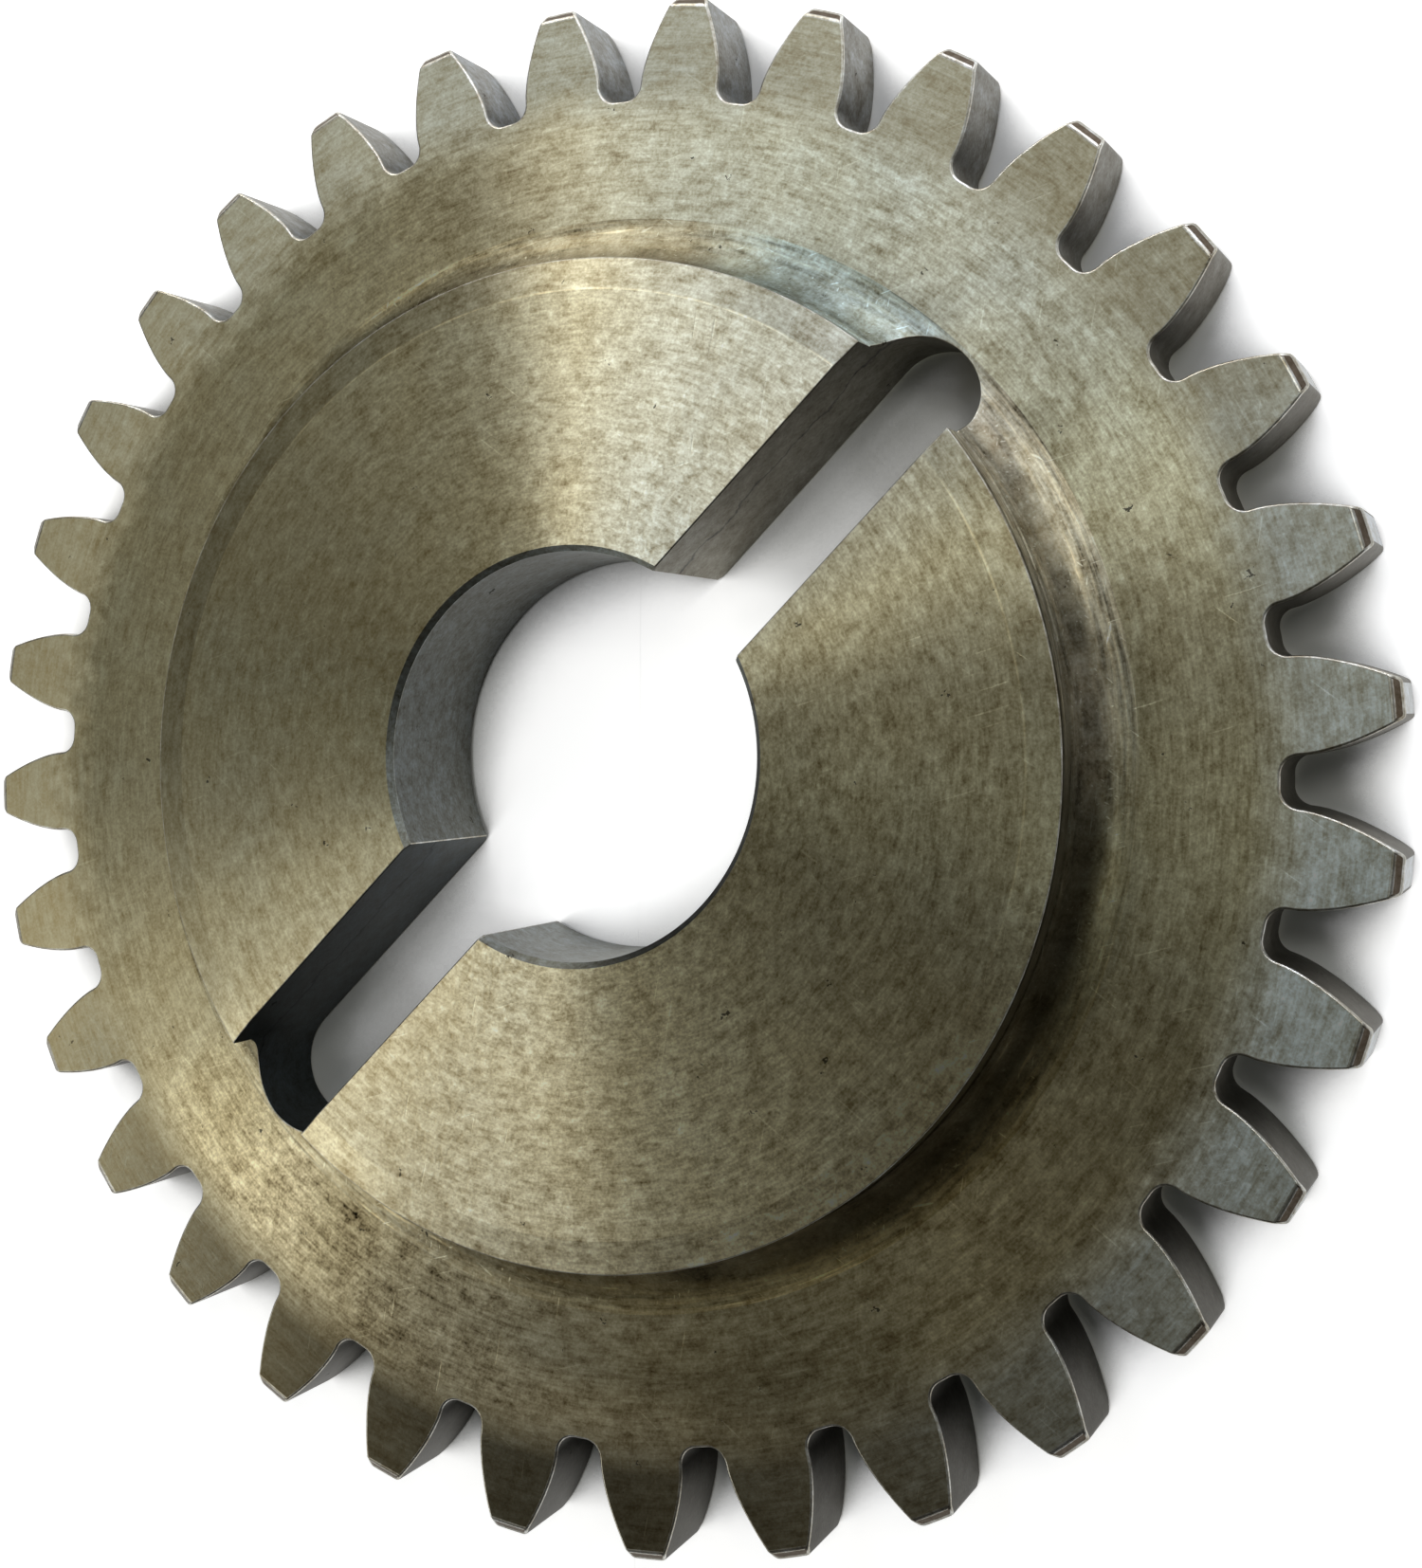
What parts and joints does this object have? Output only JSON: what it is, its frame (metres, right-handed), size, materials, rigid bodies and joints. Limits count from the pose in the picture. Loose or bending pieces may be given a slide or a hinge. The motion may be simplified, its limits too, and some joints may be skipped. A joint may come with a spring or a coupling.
{
  "type": "spur gear",
  "caption": "Flat spur gear with a raised round hub, a central bore and a straight slot cut right through across the hub and web.",
  "frame": {"origin": "on the gear's axis at the back face, the centre of the bounding box's underside", "axes": "+Z along the gear's axis out of the hub's face, +X along the slot"},
  "size_m": [0.068, 0.068, 0.0072],
  "materials": {
    "steel": "satin, lightly tumbled"
  },
  "bodies": {
    "root": {"spur_gear": "steel"}
  },
  "joints": []
}
